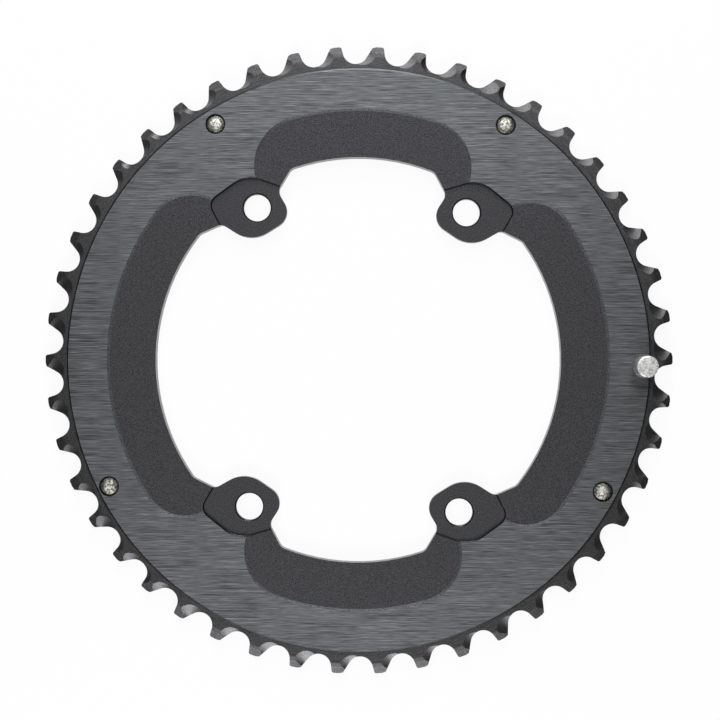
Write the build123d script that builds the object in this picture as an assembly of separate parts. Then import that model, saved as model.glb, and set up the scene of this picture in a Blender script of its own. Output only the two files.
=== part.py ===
from build123d import *
import os
from math import asin, cos, degrees, hypot, pi, radians, sin, sqrt, tan

# Bicycle chainring: one toothed aluminium plate, four steel shift pins and one steel
# chain-catch pin.
#
# The ring lies flat. +Z is its axis and points out of the brushed outer face, +X points
# at the chain-catch pin, and the origin is on the axis in the plane of the lugs' outer
# seats. All lengths are in millimetres and all angles in degrees, counter-clockwise
# seen from +Z.

# Teeth
CHAIN_PITCH = 12.7
TOOTH_COUNT = 46
ROLLER_SEAT_RADIUS = 3.92
TOOTH_RISE = 1.46            # tooth tip above the pitch circle
STEEP_FLANK_LEAN = 14.0      # clockwise flank, from the radius through the gap
STEEP_FLANK_INSET = 0.16     # how far that flank stands into the gap
SLOPED_FLANK_LEAN = 33.0     # counter-clockwise flank
TIP_CORNER_BREAK = 0.3
FIRST_GAP_ANGLE = 5.86
TOOTH_THICKNESS = 2.1

# Turned facets of the teeth
FRONT_FACET_HEIGHT = 3.15    # radial height of both front facets
FRONT_TIP_FACET_HEIGHT = 2.2
FRONT_FACET_SLOPE = 9.0
FRONT_TIP_FACET_SLOPE = 18.0
BACK_FACET_HEIGHT = 2.3
BACK_FACET_SLOPE = 12.0

# Scoops milled into the front of each tooth, as shallow cones
SCOOP_RADIUS = 4.05
SCOOP_SLOPE = 14.0
SCOOP_RISE = 0.25            # scoop centre inside the pitch circle
NARROW_SCOOP_REACH = 2.37    # scoop centre, clockwise of the gap's centre
WIDE_SCOOP_REACH = 3.73
WIDE_SCOOP_TEETH = (0, 2, 7, 20, 21, 22, 23, 26, 29, 32, 37, 43, 44, 45)
GATE_CUT_RADIUS = 3.3
GATE_CUT_SLOPE = 35.0
GATE_CUT_RISE = 0.75
GATE_CUT_REACH = 1.91        # cut centre, counter-clockwise of the gap's centre
GATE_CUT_TEETH = (7, 8, 9, 15, 16, 17, 26, 27, 28, 42, 43, 44)

# Heights, from the lugs' outer seat
TOOTH_FACE_RISE = 0.4        # front of the teeth
BRUSHED_RISE = 0.6           # brushed face above the teeth
BODY_THICKNESS = 4.2
LUG_THICKNESS = 2.4
PAD_DEPTH = 0.4

# Rim
RIM_MARGIN = 1.4             # tooth root to the brushed face's edge
BRUSHED_EDGE_BREAK_WIDTH = 0.4
BRUSHED_EDGE_BREAK_DEPTH = 0.2
THIN_RIM_WIDTH = 10.6        # tooth root to the foot of the thick body, on the back
BODY_SHOULDER_WIDTH = 2.5

# Lugs: a 110 mm circle with the arms at plus and minus 55 degrees from +X
BOLT_CIRCLE = 110.0
BOLT_ANGLE = 55.0
BOLT_HOLE_RADIUS = 4.05
BOLT_HOLE_BREAK = 0.4
OPENING_RADIUS = 61.0
OPENING_CORNER_RADIUS = 3.0
SEAT_FOOT_CHAMFER = 0.35     # where a pocket's wall meets its floor

# Lug and seat outlines in the first quadrant, as offsets from the bolt hole's centre
LUG_START = (46.73, -22.23)  # out in the body, well past the opening's edge
LUG_CORNERS = ((10.53, -5.20), (1.48, -10.63), (-10.84, -2.52), (-6.06, 5.12))
LUG_CORNER_RADII = (2.5, 8.9, 5.0, 3.1)
LUG_END = (-25.59, 40.03)
SEAT_START = (8.27, -10.82)  # in the open, past the lug's edge
SEAT_CORNERS = ((15.09, 1.32), (3.58, 10.10))
SEAT_CORNER_RADII = (3.6, 9.0)
SEAT_END = (-12.38, 4.96)

# Blasted pads between the lugs
PAD_OUTER_RADIUS = 75.6
PAD_WALL_LEAN = 60.0
SIDE_PAD_HALF_ANGLE = 35.0
SIDE_PAD_END_RADIUS = 13.0
END_PAD_HALF_ANGLE = 17.0
END_PAD_END_RADIUS = 15.0

# Shift pins: the gap each one serves, its distance inside the tooth root and its angle
# from that gap's centre
SHIFT_PINS = (
    (7, 5.80, -1.44),
    (15, 6.10, -0.66),
    (26, 5.06, -0.93),
    (42, 5.80, -1.46),
)
SHIFT_SHANK_RADIUS = 1.6
SHIFT_TAIL_RADIUS = 2.6
SHIFT_TAIL_DEPTH = 0.8       # tail's seat below the brushed face
SHIFT_TAIL_BREAK = 0.4
SHIFT_SINK_RADIUS = 3.05
SHIFT_SINK_FLOOR = 2.7
SHIFT_HEAD_RADIUS = 3.6
SHIFT_HEAD_HEIGHT = 1.3
SHIFT_HEAD_BREAK = 0.5
RAMP_WIDTH = 9.0
RAMP_SLOPE = 6.0
RAMP_START = 1.2             # inside the tooth root

# Chain-catch pin
CATCH_INSET = 3.5            # axis inside the tooth root
CATCH_RADIUS = 3.25
CATCH_HEIGHT = 7.0
CATCH_EDGE_BREAK = 0.4
CATCH_SHANK_RADIUS = 1.8
CATCH_TAIL_RADIUS = 3.0
CATCH_TAIL_DEPTH = 0.8

# Worked out from the sizes above
TOOTH_ANGLE = 360 / TOOTH_COUNT
PITCH_RADIUS = CHAIN_PITCH / (2 * sin(pi / TOOTH_COUNT))
ROOT_RADIUS = PITCH_RADIUS - ROLLER_SEAT_RADIUS
TIP_RADIUS = PITCH_RADIUS + TOOTH_RISE
BRUSHED_RADIUS = ROOT_RADIUS - RIM_MARGIN
SEAT_Z = 0.0
TOOTH_FACE_Z = SEAT_Z + TOOTH_FACE_RISE
TOOTH_BACK_Z = TOOTH_FACE_Z - TOOTH_THICKNESS
BRUSHED_Z = TOOTH_FACE_Z + BRUSHED_RISE
BACK_Z = BRUSHED_Z - BODY_THICKNESS
LUG_BACK_Z = SEAT_Z - LUG_THICKNESS
BOLT_RADIUS = BOLT_CIRCLE / 2
CUT_MARGIN = 1.0             # how far a cutter runs past the metal
FACET_MARGIN = 0.05          # the same, for the shallow cones


def polar(radius, angle):
    """Point at a radius and an angle in the plane of the ring."""
    return radius * cos(radians(angle)), radius * sin(radians(angle))


def run_out(point, lean, radius):
    """Point where a line from a start point, leaning from +X, reaches a radius."""
    dx, dy = polar(1, lean)
    along = point[0] * dx + point[1] * dy
    distance = -along + sqrt(along**2 - hypot(*point) ** 2 + radius**2)
    return point[0] + distance * dx, point[1] + distance * dy


def gap_angle(index):
    """Angle of a tooth gap's centre line. Tooth n lies between gaps n and n + 1."""
    return FIRST_GAP_ANGLE + index * TOOTH_ANGLE


def revolved(points):
    """Solid of revolution about Z from a closed half section of (radius, height)."""
    section = Plane.XZ * make_face(Polyline(*points, close=True))
    return revolve(section, Axis.Z)


def turned_blank():
    """The lathe-turned disc that all the cuts are made in."""
    facet_start = TIP_RADIUS - FRONT_FACET_HEIGHT
    tip_facet_start = TIP_RADIUS - FRONT_TIP_FACET_HEIGHT
    tip_facet_z = TOOTH_FACE_Z - (tip_facet_start - facet_start) * tan(radians(FRONT_FACET_SLOPE))
    tip_z = tip_facet_z - FRONT_TIP_FACET_HEIGHT * tan(radians(FRONT_TIP_FACET_SLOPE))
    back_tip_z = TOOTH_BACK_Z + BACK_FACET_HEIGHT * tan(radians(BACK_FACET_SLOPE))
    shoulder_radius = ROOT_RADIUS - THIN_RIM_WIDTH
    return revolved(
        [
            (0, BACK_Z),
            (shoulder_radius - BODY_SHOULDER_WIDTH, BACK_Z),
            (shoulder_radius, TOOTH_BACK_Z),
            (TIP_RADIUS - BACK_FACET_HEIGHT, TOOTH_BACK_Z),
            (TIP_RADIUS, back_tip_z),
            (TIP_RADIUS, tip_z),
            (tip_facet_start, tip_facet_z),
            (facet_start, TOOTH_FACE_Z),
            (BRUSHED_RADIUS, TOOTH_FACE_Z),
            (BRUSHED_RADIUS, BRUSHED_Z - BRUSHED_EDGE_BREAK_DEPTH),
            (BRUSHED_RADIUS - BRUSHED_EDGE_BREAK_WIDTH, BRUSHED_Z),
            (0, BRUSHED_Z),
        ]
    )


def gap_cutters():
    """One cutter for each tooth gap: a roller seat between a steep and a sloped flank."""
    cutter_radius = TIP_RADIUS + CUT_MARGIN
    corner_radius = TIP_RADIUS - TIP_CORNER_BREAK
    sides = []
    for side, lean, inset in (
        (1, STEEP_FLANK_LEAN, STEEP_FLANK_INSET),
        (-1, SLOPED_FLANK_LEAN, 0),
    ):
        seat_end = (
            PITCH_RADIUS - ROLLER_SEAT_RADIUS * sin(radians(lean)),
            side * (ROLLER_SEAT_RADIUS * cos(radians(lean)) - inset),
        )
        corner = run_out(seat_end, side * lean, corner_radius)
        outer = run_out(corner, side * (lean + 45), cutter_radius)
        sides.append((seat_end, corner, outer))
    steep, sloped = sides
    outline = (
        ThreePointArc(sloped[0], (ROOT_RADIUS, 0), steep[0])
        + Polyline(*steep)
        + Line(steep[-1], sloped[-1])
        + Polyline(*reversed(sloped))
    )
    height = BODY_THICKNESS + 2 * CUT_MARGIN
    cutter = Pos(0, 0, BACK_Z - CUT_MARGIN) * extrude(make_face(outline), height)
    return [Rot(0, 0, gap_angle(n)) * cutter for n in range(TOOTH_COUNT)]


def facet_cone(radius, slope, radial_place, angle):
    """Shallow cone whose rim has the given radius in the plane of the tooth faces."""
    rise = tan(radians(slope))
    cone = revolved(
        [
            (0, TOOTH_FACE_Z - radius * rise),
            (radius + FACET_MARGIN / rise, TOOTH_FACE_Z + FACET_MARGIN),
            (0, TOOTH_FACE_Z + FACET_MARGIN),
        ]
    )
    x, y = polar(radial_place, angle)
    return Pos(x, y, 0) * cone


def tooth_facet_cutters():
    """The scoop on each tooth, and the extra cut on the three teeth after a shift pin."""
    cutters = []
    scoop_place = PITCH_RADIUS - SCOOP_RISE
    for tooth in range(TOOTH_COUNT):
        reach = WIDE_SCOOP_REACH if tooth in WIDE_SCOOP_TEETH else NARROW_SCOOP_REACH
        angle = gap_angle(tooth + 1) - degrees(asin(reach / scoop_place))
        cutters.append(facet_cone(SCOOP_RADIUS, SCOOP_SLOPE, scoop_place, angle))
    gate_place = PITCH_RADIUS - GATE_CUT_RISE
    for tooth in GATE_CUT_TEETH:
        angle = gap_angle(tooth) + degrees(asin(GATE_CUT_REACH / gate_place))
        cutters.append(facet_cone(GATE_CUT_RADIUS, GATE_CUT_SLOPE, gate_place, angle))
    return cutters


def four_ways(shape):
    """A first-quadrant shape and its mirror images in the other three quadrants."""
    pair = [shape, mirror(shape, Plane.YZ)]
    return pair + [mirror(each, Plane.XZ) for each in pair]


def from_bolt(offset):
    """Point at an offset from the bolt hole's centre in the first quadrant."""
    x, y = polar(BOLT_RADIUS, BOLT_ANGLE)
    return x + offset[0], y + offset[1]


def opening_cutter():
    """The central opening: a circle with four lugs left standing in it."""
    start, end = from_bolt(LUG_START), from_bolt(LUG_END)
    inner_edge = FilletPolyline(start, *map(from_bolt, LUG_CORNERS), end, radius=LUG_CORNER_RADII)
    lug = make_face(inner_edge + Line(end, start))
    opening = Circle(OPENING_RADIUS)
    for each in four_ways(lug):
        opening -= each
    height = BODY_THICKNESS + 2 * CUT_MARGIN
    cutter = Pos(0, 0, BACK_Z - CUT_MARGIN) * extrude(opening, height)
    # The circle's own seam, on the X axis, is no corner.
    corners = [
        edge
        for edge in cutter.edges().filter_by(Axis.Z)
        if abs(hypot(edge.center().X, edge.center().Y) - OPENING_RADIUS) < 0.01
        and abs(edge.center().Y) > OPENING_CORNER_RADIUS
    ]
    return fillet(corners, OPENING_CORNER_RADIUS)


def seat_cutters():
    """Pockets that leave each lug thinner than the body, on both faces."""
    start, end = from_bolt(SEAT_START), from_bolt(SEAT_END)
    wall = FilletPolyline(start, *map(from_bolt, SEAT_CORNERS), end, radius=SEAT_CORNER_RADII)
    outline = make_face(wall + Polyline(end, (0, 0), start))
    front_depth = BRUSHED_Z - SEAT_Z
    back_depth = LUG_BACK_Z - BACK_Z
    front = Pos(0, 0, SEAT_Z) * extrude(outline, front_depth + CUT_MARGIN)
    back = Pos(0, 0, LUG_BACK_Z) * extrude(outline, -back_depth - CUT_MARGIN)
    front = chamfer(front.edges().group_by(Axis.Z)[0], SEAT_FOOT_CHAMFER)
    back = chamfer(back.edges().group_by(Axis.Z)[-1], SEAT_FOOT_CHAMFER)
    return four_ways(front) + four_ways(back)


def pad_cutter(half_angle, end_radius, centre_angle):
    """Shallow blasted pad with round ends and a sloped wall."""
    middle_radius = PAD_OUTER_RADIUS - end_radius
    inner_radius = middle_radius - end_radius

    def end_arc(side):
        centre = polar(middle_radius, side * half_angle)
        bulge = polar(end_radius, side * (half_angle + 90))
        return ThreePointArc(
            polar(PAD_OUTER_RADIUS, side * half_angle),
            (centre[0] + bulge[0], centre[1] + bulge[1]),
            polar(inner_radius, side * half_angle),
        )

    outer = ThreePointArc(
        polar(PAD_OUTER_RADIUS, -half_angle),
        (PAD_OUTER_RADIUS, 0),
        polar(PAD_OUTER_RADIUS, half_angle),
    )
    inner = Line(polar(inner_radius, half_angle), polar(inner_radius, -half_angle))
    outline = make_face(outer + end_arc(1) + inner + end_arc(-1))
    pad = extrude(outline, PAD_DEPTH, dir=(0, 0, -1), taper=PAD_WALL_LEAN)
    return Rot(0, 0, centre_angle) * Pos(0, 0, BRUSHED_Z) * pad


def pad_cutters():
    """Two long pads at the sides and two short ones at the ends."""
    return [
        pad_cutter(SIDE_PAD_HALF_ANGLE, SIDE_PAD_END_RADIUS, 0),
        pad_cutter(SIDE_PAD_HALF_ANGLE, SIDE_PAD_END_RADIUS, 180),
        pad_cutter(END_PAD_HALF_ANGLE, END_PAD_END_RADIUS, 90),
        pad_cutter(END_PAD_HALF_ANGLE, END_PAD_END_RADIUS, 270),
    ]


def bolt_hole_cutters():
    """Four through holes with broken edges on both faces of the lugs."""
    hole = revolved(
        [
            (0, LUG_BACK_Z - CUT_MARGIN),
            (BOLT_HOLE_RADIUS + BOLT_HOLE_BREAK + CUT_MARGIN, LUG_BACK_Z - CUT_MARGIN),
            (BOLT_HOLE_RADIUS, LUG_BACK_Z + BOLT_HOLE_BREAK),
            (BOLT_HOLE_RADIUS, SEAT_Z - BOLT_HOLE_BREAK),
            (BOLT_HOLE_RADIUS + BOLT_HOLE_BREAK + CUT_MARGIN, SEAT_Z + CUT_MARGIN),
            (0, SEAT_Z + CUT_MARGIN),
        ]
    )
    x, y = polar(BOLT_RADIUS, BOLT_ANGLE)
    return four_ways(Pos(x, y, 0) * hole)


def shift_pin_places():
    """Radius and angle of each shift pin."""
    return [
        (ROOT_RADIUS - inset, gap_angle(gap) + turn)
        for gap, inset, turn in SHIFT_PINS
    ]


def shift_pin():
    """Stepped rivet: a chamfered head on the back, a shank and a peened tail."""
    head_z = TOOTH_BACK_Z - SHIFT_HEAD_HEIGHT
    tail_z = BRUSHED_Z - SHIFT_TAIL_DEPTH
    return revolved(
        [
            (0, head_z),
            (SHIFT_HEAD_RADIUS - SHIFT_HEAD_BREAK, head_z),
            (SHIFT_HEAD_RADIUS, head_z + SHIFT_HEAD_BREAK),
            (SHIFT_HEAD_RADIUS, TOOTH_BACK_Z),
            (SHIFT_SHANK_RADIUS, TOOTH_BACK_Z),
            (SHIFT_SHANK_RADIUS, tail_z),
            (SHIFT_TAIL_RADIUS, tail_z),
            (SHIFT_TAIL_RADIUS, BRUSHED_Z - SHIFT_TAIL_BREAK),
            (SHIFT_TAIL_RADIUS - SHIFT_TAIL_BREAK, BRUSHED_Z),
            (0, BRUSHED_Z),
        ]
    )


def shift_pin_seats():
    """A hole for each shank, with a sink on the face, and a ramp milled on the back."""
    tail_z = BRUSHED_Z - SHIFT_TAIL_DEPTH
    lean = (SHIFT_SINK_RADIUS - SHIFT_SINK_FLOOR) / SHIFT_TAIL_DEPTH
    seat = revolved(
        [
            (0, TOOTH_BACK_Z - CUT_MARGIN),
            (SHIFT_SHANK_RADIUS, TOOTH_BACK_Z - CUT_MARGIN),
            (SHIFT_SHANK_RADIUS, tail_z),
            (SHIFT_SINK_FLOOR, tail_z),
            (SHIFT_SINK_RADIUS + lean * CUT_MARGIN, BRUSHED_Z + CUT_MARGIN),
            (0, BRUSHED_Z + CUT_MARGIN),
        ]
    )
    ramp_length = (RAMP_START + TIP_RADIUS - ROOT_RADIUS) / cos(radians(RAMP_SLOPE)) + CUT_MARGIN
    ramp = Box(
        ramp_length,
        RAMP_WIDTH,
        TOOTH_THICKNESS,
        align=(Align.MIN, Align.CENTER, Align.MAX),
    )
    ramp_place = Pos(ROOT_RADIUS - RAMP_START, 0, TOOTH_BACK_Z) * Rot(0, -RAMP_SLOPE, 0)
    cutters = []
    for radius, angle in shift_pin_places():
        cutters.append(Rot(0, 0, angle) * Pos(radius, 0, 0) * seat)
        cutters.append(Rot(0, 0, angle) * ramp_place * ramp)
    return cutters


def catch_pin():
    """Round steel pin seated on the brushed face, riveted through the rim."""
    top_z = BRUSHED_Z + CATCH_HEIGHT
    pin = revolved(
        [
            (0, TOOTH_BACK_Z),
            (CATCH_TAIL_RADIUS, TOOTH_BACK_Z),
            (CATCH_SHANK_RADIUS, TOOTH_BACK_Z + CATCH_TAIL_DEPTH),
            (CATCH_SHANK_RADIUS, BRUSHED_Z),
            (CATCH_RADIUS, BRUSHED_Z),
            (CATCH_RADIUS, top_z - CATCH_EDGE_BREAK),
            (CATCH_RADIUS - CATCH_EDGE_BREAK, top_z),
            (0, top_z),
        ]
    )
    return Pos(ROOT_RADIUS - CATCH_INSET, 0, 0) * pin


def catch_pin_seat():
    """Countersunk hole for the chain-catch pin's shank."""
    slope = (CATCH_TAIL_RADIUS - CATCH_SHANK_RADIUS) / CATCH_TAIL_DEPTH
    seat = revolved(
        [
            (0, TOOTH_BACK_Z - CUT_MARGIN),
            (CATCH_TAIL_RADIUS + slope * CUT_MARGIN, TOOTH_BACK_Z - CUT_MARGIN),
            (CATCH_SHANK_RADIUS, TOOTH_BACK_Z + CATCH_TAIL_DEPTH),
            (CATCH_SHANK_RADIUS, BRUSHED_Z + CUT_MARGIN),
            (0, BRUSHED_Z + CUT_MARGIN),
        ]
    )
    return Pos(ROOT_RADIUS - CATCH_INSET, 0, 0) * seat


def chainring_plate():
    """The toothed plate: a turned blank with every milled and drilled cut made in it."""
    plate = turned_blank()
    plate -= opening_cutter()
    plate -= pad_cutters()
    plate -= seat_cutters()
    plate -= bolt_hole_cutters()
    plate -= shift_pin_seats() + [catch_pin_seat()]
    plate -= gap_cutters()
    plate -= tooth_facet_cutters()
    return plate


parts = {"chainring_plate": chainring_plate(), "chain_catch_pin": catch_pin()}
for number, (place, turn) in enumerate(shift_pin_places(), start=1):
    parts[f"shift_pin_{number}"] = Rot(0, 0, turn) * Pos(place, 0, 0) * shift_pin()

os.makedirs("parts", exist_ok=True)
for name, shape in parts.items():
    shape.label = name
    export_step(shape, f"parts/{name}.step")
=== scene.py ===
from math import cos, radians, sin, tan, tau

import bmesh
import bpy
from bpy.props import FloatProperty, FloatVectorProperty, PointerProperty
from mathutils import Matrix, Vector, noise


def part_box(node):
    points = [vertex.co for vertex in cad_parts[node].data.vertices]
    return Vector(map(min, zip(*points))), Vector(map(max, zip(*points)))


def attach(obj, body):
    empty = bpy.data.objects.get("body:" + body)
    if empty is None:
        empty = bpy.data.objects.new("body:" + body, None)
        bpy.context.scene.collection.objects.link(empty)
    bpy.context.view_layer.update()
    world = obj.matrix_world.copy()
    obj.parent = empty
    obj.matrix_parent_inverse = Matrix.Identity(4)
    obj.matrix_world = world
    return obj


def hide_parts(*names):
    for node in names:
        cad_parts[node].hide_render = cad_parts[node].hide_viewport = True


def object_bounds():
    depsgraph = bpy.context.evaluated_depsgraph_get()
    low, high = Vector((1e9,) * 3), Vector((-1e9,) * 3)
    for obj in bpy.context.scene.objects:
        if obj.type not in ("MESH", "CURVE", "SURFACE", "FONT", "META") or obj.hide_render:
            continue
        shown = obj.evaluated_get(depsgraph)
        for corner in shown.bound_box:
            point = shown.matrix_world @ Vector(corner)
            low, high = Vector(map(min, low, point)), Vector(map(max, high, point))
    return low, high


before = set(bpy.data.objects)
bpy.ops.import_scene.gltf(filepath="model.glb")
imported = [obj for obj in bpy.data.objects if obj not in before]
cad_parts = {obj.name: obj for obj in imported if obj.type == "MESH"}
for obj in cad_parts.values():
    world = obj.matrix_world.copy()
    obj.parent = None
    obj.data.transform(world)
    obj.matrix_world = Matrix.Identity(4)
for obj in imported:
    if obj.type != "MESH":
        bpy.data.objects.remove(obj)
CAD_BOX = [list(corner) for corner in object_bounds()]

bl_info = {
    "name": "Bicycle chainring",
    "version": (1, 0, 0),
    "blender": (4, 5, 0),
    "location": "3D View > Sidebar > Chainring",
    "description": "Finishes a bicycle chainring and sets its stage",
    "category": "Object",
}

MM = 0.001

# The brushed face is the highest plane of the plate, and its edge is broken by a small slope.
# The tooth faces outside it were turned on a lathe: they are flat as far as the first facet,
# and lean back from there to the tips. A point within the margin of a plane lies on it.
BRUSHED_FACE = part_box("chainring_plate")[1].z
EDGE_BREAK_RADIUS = 87.34 * MM
TOOTH_FACE = 0.4 * MM
FACET_RADIUS = 91.36 * MM
FACET_SLOPE = radians(9)
TIP_FACET_RADIUS = 92.31 * MM
TIP_FACET_SLOPE = radians(18)
PLANE_MARGIN = 0.02 * MM

# How far a surface faces up, as the height of its normal, and how far off still counts.
# Walls and chamfers are steep, and the walls of the pads slope by 30 degrees.
STEEP_FACING = (0.0, 0.8)
PAD_WALL_FACING = (0.87, 0.06)

# Length and width of the brushing lines, as multiples of the sizes in the panel.
FINE_LINES = (1, 1)
LONG_LINES = (4, 1.5)

# Every pattern is a noise that is 0.5 on average.
NOISE_ROUGHNESS = 0.6
LINE_DETAIL = 3.0
RING_DETAIL = 2.0
GRAIN_DETAIL = 2.0

# What a pattern does to a colour: the factors at its darkest and at its brightest, and how
# wide a band of the pattern around 0.5 runs from the one to the other.
FINE_LINE_CONTRAST = (0.2, 1.8, 0.3)
LONG_LINE_CONTRAST = (0.2, 1.8, 0.35)
RING_CONTRAST = (0.4, 1.6, 0.5)
TURNED_CONTRAST = (0.2, 1.8, 0.7)
MILLED_CONTRAST = (0.7, 1.9, 0.7)
BLASTED_CONTRAST = (0.1, 1.9, 0.6)

# Factors for a colour on two narrow surfaces, both painted light: painted shade that darkens
# the broken edge of the brushed face into a dark line, and a painted glint on the pads' walls.
EDGE_BREAK_PAINTED_SHADE = 0.85
PAD_WALL_PAINTED_GLINT = 1.7

# Roughness of the plate's finishes. The brushed one runs from its dark to its pale lines.
BRUSHED_ROUGHNESS = (0.44, 0.36)
TURNED_ROUGHNESS = 0.50
MILLED_ROUGHNESS = 0.40
EDGE_BREAK_ROUGHNESS = 0.34
BLASTED_ROUGHNESS = 0.66
STEEP_ROUGHNESS = 0.28

# The brushed face keeps a matt share, so that it isn't black where it mirrors no lamp.
BRUSHED_METALLIC = 0.8
BRUSHED_ANISOTROPY = 0.8
GRAIN_BUMP = {"Strength": 0.25, "Distance": 0.05 * MM}

# The pins' steel is mottled in two sizes, the fine one a third of the coarse one. A narrow
# band of the mottling around 0.5 takes the colour from its palest to its darkest.
FINE_MOTTLE = 1 / 3
FINE_MOTTLE_SHARE = 0.5
MOTTLE_BAND = 0.2
MOTTLE_ROUGHNESS = 0.15
MOTTLE_BUMP = {"Strength": 0.5, "Distance": 0.1 * MM}

# Half sections of the pins in millimetres, as radius and height: the catch pin from its
# countersunk tail to its rounded top, and a shift pin from its head to its peened tail.
CATCH_PIN_SECTION = (
    (0, -1.7),
    (3.0, -1.7),
    (1.8, -0.9),
    (1.8, 1.0),
    (3.25, 1.0),
    (3.25, 7.4),
    (3.2, 7.65),
    (3.07, 7.84),
    (2.87, 7.96),
    (2.6, 8.0),
    (0, 8.0),
)
SHIFT_PIN_SECTION = (
    (0, -3.0),
    (3.1, -3.0),
    (3.6, -2.5),
    (3.6, -1.7),
    (1.6, -1.7),
    (1.6, 0.2),
    (2.6, 0.2),
    (2.6, 0.38),
    (2.5, 0.48),
    (2.35, 0.57),
    (2.15, 0.66),
    (1.9, 0.74),
    (1.6, 0.82),
    (1.3, 0.88),
    (1.0, 0.93),
    (0.7, 0.97),
    (0.35, 0.99),
    (0, 1.0),
)
CATCH_PIN_STEPS = 64
SHIFT_PIN_STEPS = 56
MERGE_DISTANCE = 0.001 * MM
SHARP_ANGLE = radians(35)
PIN_PREFIX = "shift_pin_"

# Hammer dents in the shift pins' tails: all of a tail above its seat is dented. The tails are
# spaced out in the noise that makes the dents, so that no two are alike.
TAIL_SEAT = 0.3 * MM
DENT_SIZE = 0.9 * MM
DENT_DEPTH = 0.06 * MM
DENT_SPACING = 7.0

# The floor is plain white to the camera and in reflections, but for a share of its own
# shading, which keeps the ring's shadow.
FLOOR = CAD_BOX[0][2]
FLOOR_SIZE = 8
FLOOR_ROUGHNESS = 0.9
FLOOR_WHITE_SHARE = 0.93

# The room's light is white. Each lamp has a place and a width, and all are equally deep.
WHITE = (1, 1, 1, 1)
LAMPS = {
    "high_lamp": ((-0.02, 0.367, 0.524), 0.6),
    "upper_lamp": ((0, 0.58, 0.27), 0.3),
    "lower_lamp": ((-0.03, -0.49, 0.411), 0.45),
}
LAMP_DEPTH = 0.25

# The picture's centre lies in the plane of the tooth faces.
PICTURE_CENTRE = (0.65 * MM, -0.10 * MM, TOOTH_FACE)
SENSOR_WIDTH = 36


class ChainringFinish(bpy.types.PropertyGroup):
    """Colours of the finishes, and the scale of their patterns"""

    brushed_colour: FloatVectorProperty(
        name="Brushed colour",
        description="Anodised aluminium on the brushed outer face",
        subtype="COLOR",
        size=4,
        min=0,
        max=1,
        default=(0.106, 0.112, 0.117, 1),
    )
    machined_colour: FloatVectorProperty(
        name="Machined colour",
        description="Anodised aluminium on the turned and milled faces of the teeth",
        subtype="COLOR",
        size=4,
        min=0,
        max=1,
        default=(0.086, 0.086, 0.089, 1),
    )
    blasted_colour: FloatVectorProperty(
        name="Blasted colour",
        description="Anodised aluminium in the pads and in the pockets",
        subtype="COLOR",
        size=4,
        min=0,
        max=1,
        default=(0.085, 0.085, 0.092, 1),
    )
    tumbled_colour: FloatVectorProperty(
        name="Tumbled steel colour",
        description="Bare steel of the chain-catch pin",
        subtype="COLOR",
        size=4,
        min=0,
        max=1,
        default=(0.8, 0.8, 0.78, 1),
    )
    peened_colour: FloatVectorProperty(
        name="Peened steel colour",
        description="Bare steel of the shift pins",
        subtype="COLOR",
        size=4,
        min=0,
        max=1,
        default=(0.9, 0.89, 0.8, 1),
    )
    brushing_turn: FloatProperty(
        name="Brushing direction",
        description="Angle of the brushing lines from the axis through the chain-catch pin",
        subtype="ANGLE",
        default=radians(1.44),
    )
    streak_length: FloatProperty(
        name="Streak length",
        description="Typical length of a fine brushing line, and of a line turned by the lathe",
        unit="LENGTH",
        default=6 * MM,
    )
    streak_width: FloatProperty(
        name="Streak width",
        description="Typical width of a fine brushing line, and of a line turned by the lathe",
        unit="LENGTH",
        default=0.08 * MM,
    )
    grain_size: FloatProperty(
        name="Grain size",
        description="Size of the dimples that blasting leaves",
        unit="LENGTH",
        default=0.33 * MM,
    )


class ChainringStage(bpy.types.PropertyGroup):
    """Place of the camera, strength of the lamps and colour of the floor"""

    camera_height: FloatProperty(
        name="Camera height",
        description="Distance from the tooth faces to the camera",
        unit="LENGTH",
        default=0.430,
    )
    camera_right: FloatProperty(
        name="Camera to the right",
        description="How far right of the picture's centre the camera stands",
        unit="LENGTH",
        default=7.5 * MM,
    )
    camera_down: FloatProperty(
        name="Camera down",
        description="How far below the picture's centre the camera stands",
        unit="LENGTH",
        default=4.0 * MM,
    )
    picture_turn: FloatProperty(
        name="Picture turn",
        description="Turn of the ring in the picture, clockwise",
        subtype="ANGLE",
        default=radians(1.44),
    )
    picture_width: FloatProperty(
        name="Picture width",
        description="Width of the picture, in the plane of the tooth faces",
        unit="LENGTH",
        default=216.53 * MM,
    )
    high_lamp_power: FloatProperty(
        name="High lamp",
        description="Power of the wide lamp high above the upper side of the picture",
        unit="POWER",
        default=1.9,
    )
    upper_lamp_power: FloatProperty(
        name="Upper lamp",
        description="Power of the narrow lamp low behind the upper side of the picture",
        unit="POWER",
        default=1.9,
    )
    lower_lamp_power: FloatProperty(
        name="Lower lamp",
        description="Power of the lamp over the lower side of the picture",
        unit="POWER",
        default=2.8,
    )
    world_strength: FloatProperty(
        name="Room light",
        description="Strength of the even light from all round",
        default=0.04,
    )
    floor_colour: FloatVectorProperty(
        name="Floor colour",
        description="Colour of the pale floor",
        subtype="COLOR",
        size=4,
        min=0,
        max=1,
        default=(0.93, 0.93, 0.93, 1),
    )


def add(tree, kind, inputs=None, **settings):
    """Adds a node, sets its properties, and sets or links its inputs by name or place."""
    made = tree.nodes.new(kind)
    for name, value in settings.items():
        setattr(made, name, value)
    for key, value in (inputs or {}).items():
        if isinstance(value, bpy.types.NodeSocket):
            tree.links.new(value, made.inputs[key])
        else:
            made.inputs[key].default_value = value
    return made


def starting_node(tree, kind):
    """The node of a kind that a new material or world starts with."""
    return next(node for node in tree.nodes if node.type == kind)


def calculated(tree, operation, *values):
    """The result of one Math node."""
    return add(tree, "ShaderNodeMath", dict(enumerate(values)), operation=operation).outputs[0]


def separated(tree, vector):
    """The three parts of a vector, by the names of their axes."""
    return add(tree, "ShaderNodeSeparateXYZ", {"Vector": vector}).outputs


def combined(tree, x, y):
    """A vector from its first two parts."""
    return add(tree, "ShaderNodeCombineXYZ", {"X": x, "Y": y}).outputs["Vector"]


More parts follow.
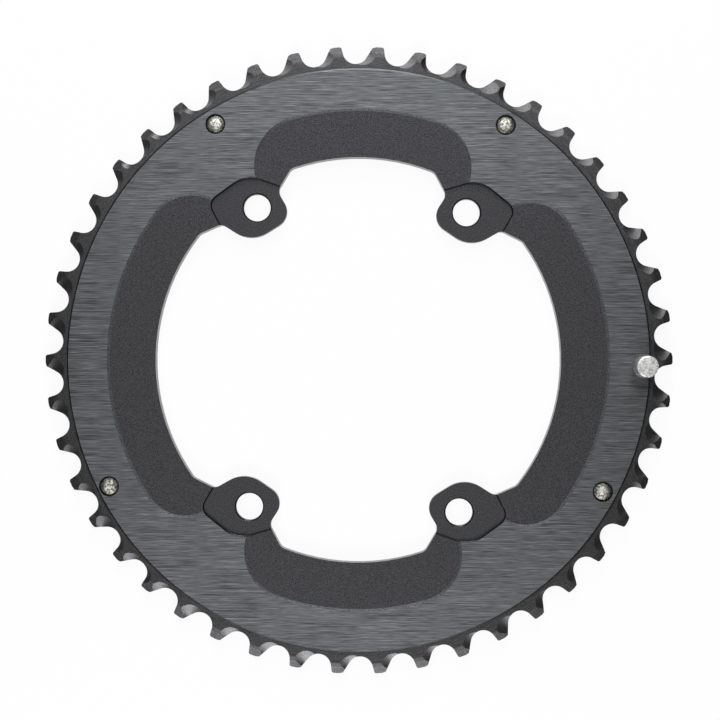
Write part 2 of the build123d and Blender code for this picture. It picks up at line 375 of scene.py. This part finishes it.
def ramp(tree, value, start, end, low, high):
    """A value turned into another that runs from low at the start to high at the end."""
    made = add(
        tree,
        "ShaderNodeMapRange",
        {"Value": value, "From Min": start, "From Max": end, "To Min": low, "To Max": high},
    )
    return made.outputs["Result"]


def scaled(tree, value, low, high, band=1.0):
    """A pattern turned into a factor that runs from low to high over a band around 0.5."""
    return ramp(tree, value, 0.5 - band / 2, 0.5 + band / 2, low, high)


def tinted(tree, colour, factor):
    """A colour made lighter or darker by a factor."""
    inputs = {0: tuple(colour)[:3], "Scale": factor}
    return add(tree, "ShaderNodeVectorMath", inputs, operation="SCALE").outputs[0]


def mixed(tree, factor, first, second, data_type="FLOAT"):
    """A value or colour between two others."""
    made = add(tree, "ShaderNodeMix", data_type=data_type)
    pairs = {"FLOAT": (2, 3), "RGBA": (6, 7)}[data_type]
    for place, value in zip((0, *pairs), (factor, first, second)):
        if isinstance(value, bpy.types.NodeSocket):
            tree.links.new(value, made.inputs[place])
        else:
            made.inputs[place].default_value = value
    return made.outputs[{"FLOAT": 0, "RGBA": 2}[data_type]]


def noise_value(tree, place, scale, detail):
    """Noise that is 0.5 on average."""
    made = add(
        tree,
        "ShaderNodeTexNoise",
        {"Vector": place, "Scale": scale, "Detail": detail, "Roughness": NOISE_ROUGHNESS},
    )
    return made.outputs["Fac"]


def new_group(name, inputs, outputs):
    """An empty shader group with named number inputs and outputs."""
    tree = bpy.data.node_groups.new(name, "ShaderNodeTree")
    for label, default in inputs.items():
        socket = tree.interface.new_socket(label, in_out="INPUT", socket_type="NodeSocketFloat")
        socket.default_value = default
    for label in outputs:
        tree.interface.new_socket(label, in_out="OUTPUT", socket_type="NodeSocketFloat")
    inside = tree.nodes.new("NodeGroupInput").outputs
    out = tree.nodes.new("NodeGroupOutput").inputs
    return tree, inside, out


def streaks_group():
    """Long thin streaks that a brushing belt leaves."""
    sizes = {"Length": 5 * MM, "Width": 0.2 * MM, "Turn": 0.0}
    tree, inside, out = new_group("Brushing streaks", sizes, ["Streak"])
    turned = add(
        tree,
        "ShaderNodeVectorRotate",
        {
            "Vector": add(tree, "ShaderNodeTexCoord").outputs["Object"],
            "Angle": inside["Turn"],
        },
        rotation_type="Z_AXIS",
        invert=True,
    )
    along = calculated(tree, "DIVIDE", 1.0, inside["Length"])
    across = calculated(tree, "DIVIDE", 1.0, inside["Width"])
    stretched = add(
        tree,
        "ShaderNodeVectorMath",
        {0: turned.outputs[0], 1: combined(tree, along, across)},
        operation="MULTIPLY",
    )
    tree.links.new(noise_value(tree, stretched.outputs[0], 1.0, LINE_DETAIL), out["Streak"])
    return tree


def grain_group():
    """Fine even dimples."""
    tree, inside, out = new_group("Blasted grain", {"Size": 0.4 * MM}, ["Grain"])
    place = add(tree, "ShaderNodeTexCoord").outputs["Object"]
    scale = calculated(tree, "DIVIDE", 1.0, inside["Size"])
    tree.links.new(noise_value(tree, place, scale, GRAIN_DETAIL), out["Grain"])
    return tree


def shared_pattern(tree, name, build, **sizes):
    """The output of a shared group with its own sizes. The first call builds the group."""
    group = bpy.data.node_groups.get(name) or build()
    return add(tree, "ShaderNodeGroup", sizes, node_tree=group).outputs[0]


def streaks(tree, look, length, width):
    """Brushing streaks, as multiples of the panel's length and width."""
    return shared_pattern(
        tree,
        "Brushing streaks",
        streaks_group,
        Length=length * look.streak_length,
        Width=width * look.streak_width,
        Turn=look.brushing_turn,
    )


def grain(tree, size):
    """Blasted grain of a size."""
    return shared_pattern(tree, "Blasted grain", grain_group, Size=size)


def new_material(name, **constants):
    """A material with one Principled BSDF, and that shader's own constant sockets set."""
    material = bpy.data.materials.new(name)
    material.use_nodes = True
    tree = material.node_tree
    shader = starting_node(tree, "BSDF_PRINCIPLED")
    for label, value in constants.items():
        shader.inputs[label.replace("_", " ")].default_value = value
    return material, tree, shader


def blend_shaders(tree, factor, first, second):
    """Shows the second shader where the factor is 1, and the first where it is 0."""
    blend = add(
        tree, "ShaderNodeMixShader", {0: factor, 1: first.outputs[0], 2: second.outputs[0]}
    )
    output = starting_node(tree, "OUTPUT_MATERIAL")
    tree.links.new(blend.outputs[0], output.inputs["Surface"])


def drop_past(tree, radius, start, steepness):
    """How far a surface has dropped that leans back from a radius outwards."""
    past = calculated(tree, "MAXIMUM", calculated(tree, "SUBTRACT", radius, start), 0.0)
    return calculated(tree, "MULTIPLY", past, steepness)


def turned_mask(tree, radius, height):
    """1 on the turned tooth faces, 0 in the scoops, on the flanks and inside the rim."""
    tip_steepness = tan(TIP_FACET_SLOPE) - tan(FACET_SLOPE)
    drop = calculated(
        tree,
        "ADD",
        drop_past(tree, radius, FACET_RADIUS, tan(FACET_SLOPE)),
        drop_past(tree, radius, TIP_FACET_RADIUS, tip_steepness),
    )
    level = calculated(tree, "ADD", height, drop)
    on_face = calculated(tree, "COMPARE", level, TOOTH_FACE, PLANE_MARGIN)
    outside = calculated(tree, "GREATER_THAN", radius, EDGE_BREAK_RADIUS)
    return calculated(tree, "MULTIPLY", on_face, outside)


def turned_rings(tree, parts, radius, look):
    """Fine rings that a lathe tool leaves."""
    around = calculated(tree, "ARCTAN2", parts["Y"], parts["X"])
    lines = combined(
        tree,
        calculated(tree, "DIVIDE", radius, look.streak_width),
        calculated(tree, "MULTIPLY", around, FACET_RADIUS / look.streak_length),
    )
    return noise_value(tree, lines, 1.0, RING_DETAIL)


def brush(tree, shader, look):
    """Gives a shader the lines of the brushed face, and draws its gloss out across them."""
    fine = streaks(tree, look, *FINE_LINES)
    long = streaks(tree, look, *LONG_LINES)
    lines = calculated(
        tree,
        "MULTIPLY",
        scaled(tree, fine, *FINE_LINE_CONTRAST),
        scaled(tree, long, *LONG_LINE_CONTRAST),
    )
    across = combined(tree, -sin(look.brushing_turn), cos(look.brushing_turn))
    tree.links.new(tinted(tree, look.brushed_colour, lines), shader.inputs["Base Color"])
    tree.links.new(scaled(tree, fine, *BRUSHED_ROUGHNESS), shader.inputs["Roughness"])
    tree.links.new(across, shader.inputs["Tangent"])


def machine_and_blast(tree, shader, look, parts, radius, facing):
    """Gives a shader the turned and milled teeth, and the blasted metal inside the rim."""
    dimples = grain(tree, look.grain_size)
    machined = calculated(tree, "GREATER_THAN", radius, EDGE_BREAK_RADIUS)
    turned = turned_mask(tree, radius, parts["Z"])
    edge_break = calculated(tree, "GREATER_THAN", parts["Z"], TOOTH_FACE + PLANE_MARGIN)
    steep = calculated(tree, "COMPARE", facing, *STEEP_FACING)
    pad_wall = calculated(tree, "COMPARE", facing, *PAD_WALL_FACING)

    turned_tint = calculated(
        tree,
        "MULTIPLY",
        scaled(tree, turned_rings(tree, parts, radius, look), *RING_CONTRAST),
        scaled(tree, dimples, *TURNED_CONTRAST),
    )
    # The milled colour follows the grain, with painted shade on the brushed face's broken edge.
    milled_grain_and_shade = mixed(
        tree, edge_break, scaled(tree, dimples, *MILLED_CONTRAST), EDGE_BREAK_PAINTED_SHADE
    )
    # The blasted colour follows the grain, with a painted glint on the sloped walls of the
    # pads.
    blasted_grain_and_glint = calculated(
        tree,
        "MULTIPLY",
        scaled(tree, dimples, *BLASTED_CONTRAST),
        mixed(tree, pad_wall, 1.0, PAD_WALL_PAINTED_GLINT),
    )
    colour = mixed(
        tree,
        machined,
        tinted(tree, look.blasted_colour, blasted_grain_and_glint),
        tinted(tree, look.machined_colour, mixed(tree, turned, milled_grain_and_shade, turned_tint)),
        "RGBA",
    )
    milled_roughness = mixed(tree, edge_break, MILLED_ROUGHNESS, EDGE_BREAK_ROUGHNESS)
    roughness = mixed(
        tree,
        machined,
        mixed(tree, steep, BLASTED_ROUGHNESS, STEEP_ROUGHNESS),
        mixed(tree, turned, milled_roughness, TURNED_ROUGHNESS),
    )
    bump = add(tree, "ShaderNodeBump", {**GRAIN_BUMP, "Height": dimples})
    tree.links.new(colour, shader.inputs["Base Color"])
    tree.links.new(roughness, shader.inputs["Roughness"])
    tree.links.new(bump.outputs["Normal"], shader.inputs["Normal"])


def plate_material(look):
    """Grey anodised aluminium: brushed and turned faces, blasted pads and milled cuts."""
    material, tree, lined = new_material(
        "grey_anodised_aluminium", Metallic=BRUSHED_METALLIC, Anisotropic=BRUSHED_ANISOTROPY
    )
    even = add(tree, "ShaderNodeBsdfPrincipled", {"Metallic": 1.0})
    coordinates = add(tree, "ShaderNodeTexCoord").outputs
    parts = separated(tree, coordinates["Object"])
    facing = separated(tree, coordinates["Normal"])["Z"]
    flat = combined(tree, parts["X"], parts["Y"])
    radius = add(tree, "ShaderNodeVectorMath", {0: flat}, operation="LENGTH").outputs["Value"]
    brushed = calculated(tree, "GREATER_THAN", parts["Z"], BRUSHED_FACE - PLANE_MARGIN)
    brush(tree, lined, look)
    machine_and_blast(tree, even, look, parts, radius, facing)
    blend_shaders(tree, brushed, even, lined)
    return material


def steel_material(name, colour, mottle_size, contrast, roughness, painted_low_shade, low, high):
    """Bare steel, mottled by tumbling or peening, with painted shade below the high height."""
    material, tree, shader = new_material(name, Metallic=1.0)
    parts = separated(tree, add(tree, "ShaderNodeTexCoord").outputs["Object"])
    coarse = grain(tree, mottle_size)
    fine = grain(tree, mottle_size * FINE_MOTTLE)
    mottle = mixed(tree, FINE_MOTTLE_SHARE, coarse, fine)
    # The colour carries the mottle and painted shade, which darkens it from the high height
    # down to the low one.
    mottle_and_shade = calculated(
        tree,
        "MULTIPLY",
        ramp(tree, parts["Z"], low, high, painted_low_shade, 1.0),
        scaled(tree, mottle, 1 - contrast, 1 + contrast, MOTTLE_BAND),
    )
    dull, bright = roughness + MOTTLE_ROUGHNESS, roughness - MOTTLE_ROUGHNESS
    bump = add(tree, "ShaderNodeBump", {**MOTTLE_BUMP, "Height": mottle})
    tree.links.new(tinted(tree, colour, mottle_and_shade), shader.inputs["Base Color"])
    tree.links.new(scaled(tree, coarse, dull, bright), shader.inputs["Roughness"])
    tree.links.new(bump.outputs["Normal"], shader.inputs["Normal"])
    return material


def spun(profile, steps):
    """A bmesh of revolution about Z from (radius, height) points in millimetres."""
    bm = bmesh.new()
    corners = [bm.verts.new((radius * MM, 0, height * MM)) for radius, height in profile]
    edges = [bm.edges.new(pair) for pair in zip(corners, corners[1:])]
    bmesh.ops.spin(
        bm,
        geom=corners + edges,
        cent=(0, 0, 0),
        axis=(0, 0, 1),
        angle=tau,
        steps=steps,
        use_merge=True,
    )
    bmesh.ops.remove_doubles(bm, verts=bm.verts, dist=MERGE_DISTANCE)
    bmesh.ops.recalc_face_normals(bm, faces=bm.faces)
    return bm


def dent_tail(bm, number):
    """Hammers the tail of a numbered shift pin."""
    shift = Vector((DENT_SPACING * number, 0, 0))
    for vert in bm.verts:
        if vert.co.z > TAIL_SEAT:
            dent = noise.noise(vert.co / DENT_SIZE + shift)
            vert.co.z -= DENT_DEPTH * (1 + dent)


def stand_for(node, bm, name, material):
    """Puts a finished bmesh on a pin's axis, in place of the pin's CAD node."""
    low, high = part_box(node)
    bmesh.ops.translate(bm, verts=bm.verts, vec=((low.x + high.x) / 2, (low.y + high.y) / 2, 0))
    mesh = bpy.data.meshes.new(name)
    bm.to_mesh(mesh)
    bm.free()
    mesh.materials.append(material)
    mesh.shade_smooth()
    mesh.set_sharp_from_angle(angle=SHARP_ANGLE)
    piece = bpy.data.objects.new(name, mesh)
    bpy.context.scene.collection.objects.link(piece)
    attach(piece, "root")
    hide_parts(node)


class CHAINRING_OT_finish_plate(bpy.types.Operator):
    """Brush the plate's outer face, and machine or blast the rest"""

    bl_idname = "chainring.finish_plate"
    bl_label = "Finish the plate"

    def execute(self, context):
        material = plate_material(context.scene.chainring_finish)
        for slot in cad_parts["chainring_plate"].material_slots:
            slot.material = material
        return {"FINISHED"}


class CHAINRING_OT_make_catch_pin(bpy.types.Operator):
    """Turn the chain-catch pin from tumbled steel"""

    bl_idname = "chainring.make_catch_pin"
    bl_label = "Make the chain-catch pin"

    def execute(self, context):
        # The pin's side wall below its rounded top gets painted shade.
        material = steel_material(
            "tumbled_steel",
            context.scene.chainring_finish.tumbled_colour,
            mottle_size=1.4 * MM,
            contrast=0.4,
            roughness=0.62,
            painted_low_shade=0.7,
            low=6.9 * MM,
            high=7.7 * MM,
        )
        stand_for(
            "chain_catch_pin",
            spun(CATCH_PIN_SECTION, CATCH_PIN_STEPS),
            "catch_pin_turned",
            material,
        )
        return {"FINISHED"}


class CHAINRING_OT_make_shift_pins(bpy.types.Operator):
    """Rivet the four shift pins, each with a hammered tail"""

    bl_idname = "chainring.make_shift_pins"
    bl_label = "Make the shift pins"

    def execute(self, context):
        # The rim of each peened tail gets painted shade, and its crown stays bright.
        material = steel_material(
            "peened_steel",
            context.scene.chainring_finish.peened_colour,
            mottle_size=0.7 * MM,
            contrast=0.9,
            roughness=0.55,
            painted_low_shade=0.24,
            low=0.68 * MM,
            high=0.92 * MM,
        )
        for node in sorted(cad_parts):
            if node.startswith(PIN_PREFIX):
                bm = spun(SHIFT_PIN_SECTION, SHIFT_PIN_STEPS)
                dent_tail(bm, int(node[-1]))
                stand_for(node, bm, node + "_peened", material)
        return {"FINISHED"}


def add_floor(colour):
    """A pale floor that the camera sees as white and that keeps the ring's shadow."""
    bpy.ops.mesh.primitive_plane_add(size=FLOOR_SIZE, location=(0, 0, FLOOR))
    floor = bpy.context.object
    floor.name = "floor"
    material, tree, shader = new_material(
        "pale_floor", Base_Color=tuple(colour), Roughness=FLOOR_ROUGHNESS
    )
    glow = add(tree, "ShaderNodeEmission", {"Strength": 1.0})
    path = add(tree, "ShaderNodeLightPath").outputs
    seen = calculated(tree, "MAXIMUM", path["Is Camera Ray"], path["Is Glossy Ray"])
    seen = calculated(tree, "MAXIMUM", seen, path["Is Transmission Ray"])
    share = calculated(tree, "MULTIPLY", seen, FLOOR_WHITE_SHARE)
    blend_shaders(tree, share, shader, glow)
    floor.data.materials.append(material)


def add_lamp(name, place, width, power):
    """A large soft lamp that faces the middle of the ring."""
    data = bpy.data.lights.new(name, "AREA")
    data.shape = "RECTANGLE"
    data.size = width
    data.size_y = LAMP_DEPTH
    data.energy = power
    lamp = bpy.data.objects.new(name, data)
    bpy.context.scene.collection.objects.link(lamp)
    lamp.location = place
    lamp.rotation_euler = (-Vector(place)).to_track_quat("-Z", "Y").to_euler()


def add_camera(stage):
    """A camera that looks down on the ring from almost straight above."""
    right = Vector((cos(stage.picture_turn), sin(stage.picture_turn), 0))
    up = Vector((-sin(stage.picture_turn), cos(stage.picture_turn), 0))
    target = Vector(PICTURE_CENTRE)
    place = target + right * stage.camera_right - up * stage.camera_down
    place.z += stage.camera_height
    data = bpy.data.cameras.new("camera")
    data.sensor_width = SENSOR_WIDTH
    data.lens = data.sensor_width * stage.camera_height / stage.picture_width
    camera = bpy.data.objects.new("camera", data)
    bpy.context.scene.collection.objects.link(camera)
    backwards = (place - target).normalized()
    across = up.cross(backwards).normalized()
    upwards = backwards.cross(across)
    rotation = [(across[i], upwards[i], backwards[i]) for i in range(3)]
    camera.matrix_world = Matrix.Translation(place) @ Matrix(rotation).to_4x4()
    bpy.context.scene.camera = camera


def add_room(strength):
    """Dim light from all round, and white where the camera looks past the floor."""
    world = bpy.data.worlds.new("room")
    world.use_nodes = True
    tree = world.node_tree
    light = starting_node(tree, "BACKGROUND")
    light.inputs["Color"].default_value = WHITE
    seen = add(tree, "ShaderNodeLightPath").outputs["Is Camera Ray"]
    tree.links.new(mixed(tree, seen, strength, 1.0), light.inputs["Strength"])
    bpy.context.scene.world = world


class CHAINRING_OT_set_stage(bpy.types.Operator):
    """Lay a pale floor, hang the lamps and aim the camera"""

    bl_idname = "chainring.set_stage"
    bl_label = "Set the stage"

    def execute(self, context):
        stage = context.scene.chainring_stage
        add_floor(stage.floor_colour)
        for name, (place, width) in LAMPS.items():
            add_lamp(name, place, width, getattr(stage, name + "_power"))
        add_camera(stage)
        add_room(stage.world_strength)
        context.scene.view_settings.view_transform = "Standard"
        return {"FINISHED"}


class CHAINRING_PT_panel(bpy.types.Panel):
    """Lists the chainring's settings, and the steps that finish it and set its stage"""

    bl_idname = "CHAINRING_PT_panel"
    bl_label = "Chainring"
    bl_space_type = "VIEW_3D"
    bl_region_type = "UI"
    bl_category = "Chainring"

    def draw(self, context):
        for settings, operators in (
            (context.scene.chainring_finish, FINISHES),
            (context.scene.chainring_stage, STAGE_STEPS),
        ):
            for name in settings.bl_rna.properties.keys():
                if name not in {"rna_type", "name"}:
                    self.layout.prop(settings, name)
            for operator in operators:
                self.layout.operator(operator.bl_idname)


FINISHES = (
    CHAINRING_OT_finish_plate,
    CHAINRING_OT_make_catch_pin,
    CHAINRING_OT_make_shift_pins,
)
STAGE_STEPS = (CHAINRING_OT_set_stage,)
CLASSES = (ChainringFinish, ChainringStage, *FINISHES, *STAGE_STEPS, CHAINRING_PT_panel)


def register():
    for each in CLASSES:
        bpy.utils.register_class(each)
    bpy.types.Scene.chainring_finish = PointerProperty(type=ChainringFinish)
    bpy.types.Scene.chainring_stage = PointerProperty(type=ChainringStage)


def unregister():
    del bpy.types.Scene.chainring_stage
    del bpy.types.Scene.chainring_finish
    for each in reversed(CLASSES):
        bpy.utils.unregister_class(each)


def main():
    register()
    bpy.ops.chainring.finish_plate()
    bpy.ops.chainring.make_catch_pin()
    bpy.ops.chainring.make_shift_pins()
    bpy.ops.chainring.set_stage()


if __name__ == "__main__":
    main()
